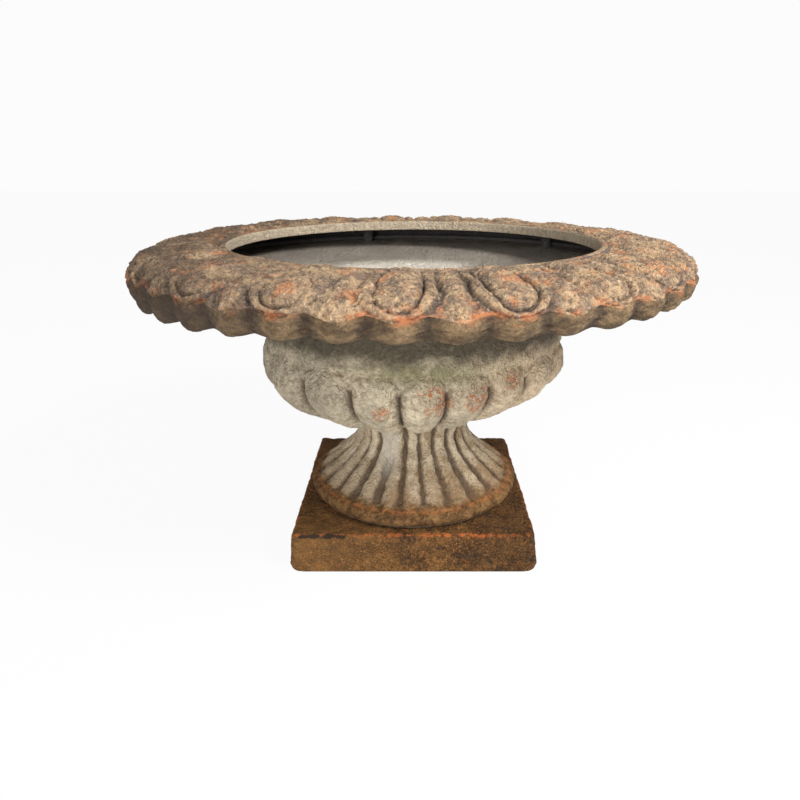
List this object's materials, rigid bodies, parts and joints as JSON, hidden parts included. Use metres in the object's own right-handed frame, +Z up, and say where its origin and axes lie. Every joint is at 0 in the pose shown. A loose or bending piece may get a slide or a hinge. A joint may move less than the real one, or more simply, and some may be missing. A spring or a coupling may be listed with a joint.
{
  "type": "urn planter",
  "caption": "Low, wide garden urn in cast iron: egg-and-dart rim, plain neck, gadrooned bowl, short fluted stem on a round foot and a square plinth.",
  "frame": {"origin": "centre of the plinth's underside, on the ground", "axes": "+Z up along the urn's axis, -Y towards the viewer of the picture, +X to that viewer's right"},
  "size_m": [0.7568, 0.7578, 0.4378],
  "materials": {
    "brown_iron": "old paint gone dark brown, matte, with orange rust on the arrises",
    "stained_iron": "worn cream paint, matte, stained brown in the flutes and on the foot",
    "cream_iron": "worn cream paint, matte, with rust showing through in streaks",
    "rusted_iron": "thin grey-brown paint over rust, grainy, dark in the hollows and orange on the crowns",
    "mastic": "dull, set bedding mastic",
    "rubber": "matte black",
    "steel": "plain steel, dulled"
  },
  "bodies": {
    "root": {"plinth": "brown_iron", "socle": "stained_iron", "bowl": "cream_iron", "rim": "rusted_iron", "foot_bedding": "mastic", "stem_bedding": "mastic", "rim_bedding": "mastic", "tie_bar": "steel", "lower_washer": "steel", "lower_nut": "steel", "floor_seal": "rubber", "upper_washer": "steel", "upper_nut": "steel", "tie_rod": "steel", "rim_screw_1": "steel", "rim_screw_2": "steel", "rim_screw_3": "steel", "rim_screw_4": "steel", "rim_screw_5": "steel", "rim_screw_6": "steel"}
  },
  "joints": []
}
